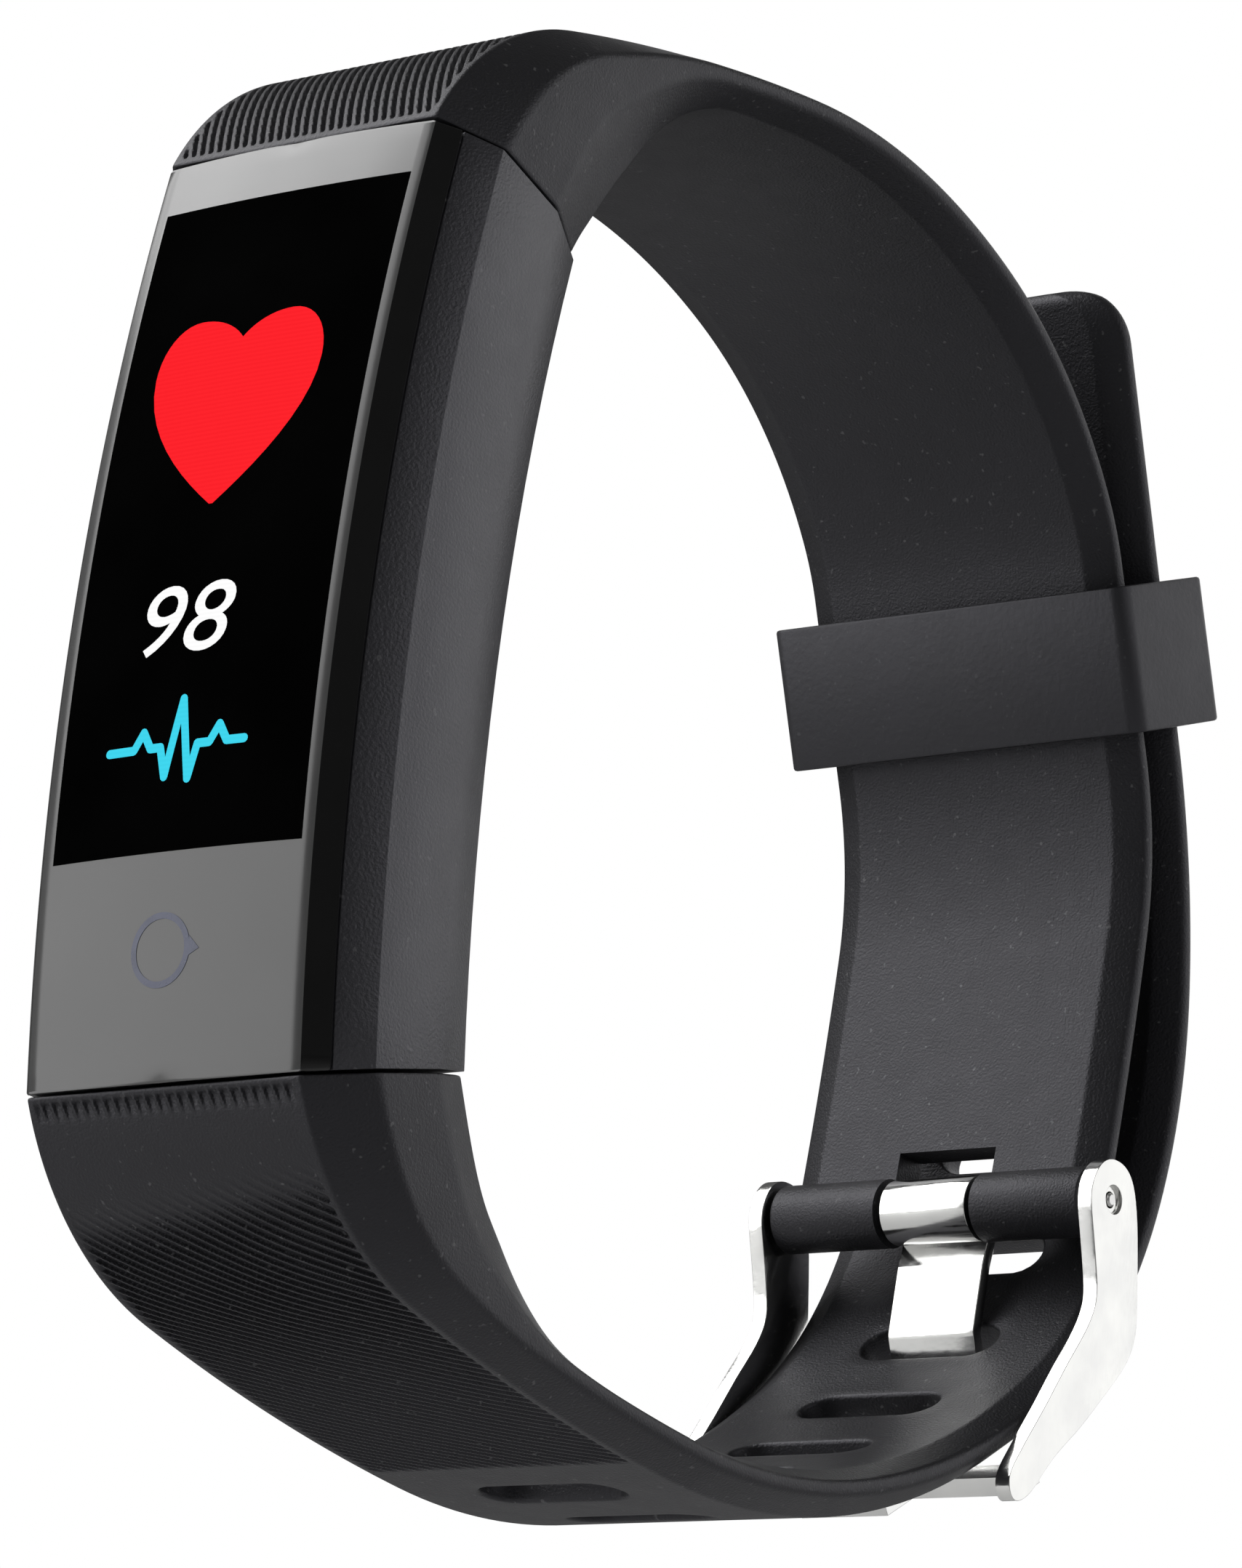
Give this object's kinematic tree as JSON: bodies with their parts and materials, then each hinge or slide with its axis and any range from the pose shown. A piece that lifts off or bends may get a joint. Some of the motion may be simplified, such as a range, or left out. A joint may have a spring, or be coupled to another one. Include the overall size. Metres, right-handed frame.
{
  "type": "fitness tracker band",
  "caption": "Curved wrist fitness tracker with a tall display, two soft straps buckled into a loop, steel buckle, keeper and rear optical sensor.",
  "frame": {"origin": "middle of the sensor window's outer face, where the module rests on the wrist", "axes": "+X across the strap to the wearer's side, -Y the way the display faces, +Y into the wrist, +Z along the display towards its top"},
  "size_m": [0.0224, 0.0699, 0.0704],
  "materials": {
    "front_glass": "glossy, dark printed back",
    "gasket": "matt adhesive foam",
    "housing": "fine spark-eroded texture",
    "rear_cover": "satin",
    "sensor_window": "polished",
    "display": "black panel with lit icons",
    "copper": "bare copper pad",
    "flex": "amber film",
    "board": "solder mask",
    "chips": "moulded epoxy",
    "battery": "foil pouch",
    "led": "clear lens",
    "motor_steel": "drawn can",
    "motor_weight": "sintered",
    "plug": "moulded",
    "gold": "gold plated",
    "strap_rubber": "matt, ribbed outside",
    "keeper_rubber": "matt",
    "buckle_steel": "mirror polished",
    "small_steel": "turned"
  },
  "bodies": {
    "tracker": {"front_glass": "front_glass", "glass_gasket": "gasket", "housing": "housing", "rear_cover": "rear_cover", "sensor_window": "sensor_window", "display_panel": "display", "touch_key_pad": "copper", "display_flex": "flex", "main_board": "board", "board_chips": "chips", "board_screws": "small_steel", "battery": "battery", "sensor_board": "board", "sensor_leds": "led", "photodiode": "chips", "motor_can": "motor_steel", "charging_plug": "plug", "charging_contacts": "gold", "upper_strap": "strap_rubber", "lower_strap": "strap_rubber", "spring_bar_barrel": "small_steel", "spring_bar_spring": "small_steel"},
    "keeper": {"keeper_loop": "keeper_rubber"},
    "buckle": {"buckle_frame": "buckle_steel"},
    "prong": {"buckle_prong": "buckle_steel"},
    "tip_left": {"spring_bar_tip_left": "small_steel"},
    "tip_right": {"spring_bar_tip_right": "small_steel"},
    "motor_rotor": {"motor_shaft": "motor_steel", "motor_weight": "motor_weight"}
  },
  "joints": [
    {"name": "keeper_slide", "type": "slide", "parent": "tracker", "child": "keeper", "axis": [0, 0.4035, -0.915], "range_m": [-0.002, 0.002]},
    {"name": "buckle_swing", "type": "hinge", "parent": "tracker", "child": "buckle", "pos_m": [0, 0.05055, -0.01193], "axis": [1, 0, 0], "range_deg": [0, 100]},
    {"name": "prong_swing", "type": "hinge", "parent": "tracker", "child": "prong", "pos_m": [0, 0.05055, -0.01193], "axis": [1, 0, 0], "range_deg": [0, 1]},
    {"name": "tip_left_press", "type": "slide", "parent": "tracker", "child": "tip_left", "axis": [1, 0, 0], "range_m": [0, 0.0011], "stiffness_N_per_m": 900, "springref_m": -0.001, "deforming": ["spring_bar_spring"]},
    {"name": "tip_right_press", "type": "slide", "parent": "tracker", "child": "tip_right", "axis": [-1, 0, 0], "range_m": [0, 0.0011], "stiffness_N_per_m": 900, "springref_m": -0.001, "deforming": ["spring_bar_spring"]},
    {"name": "motor_spin", "type": "hinge", "parent": "tracker", "child": "motor_rotor", "pos_m": [0, -0.0039, -0.013], "axis": [1, 0, 0], "continuous": true}
  ]
}
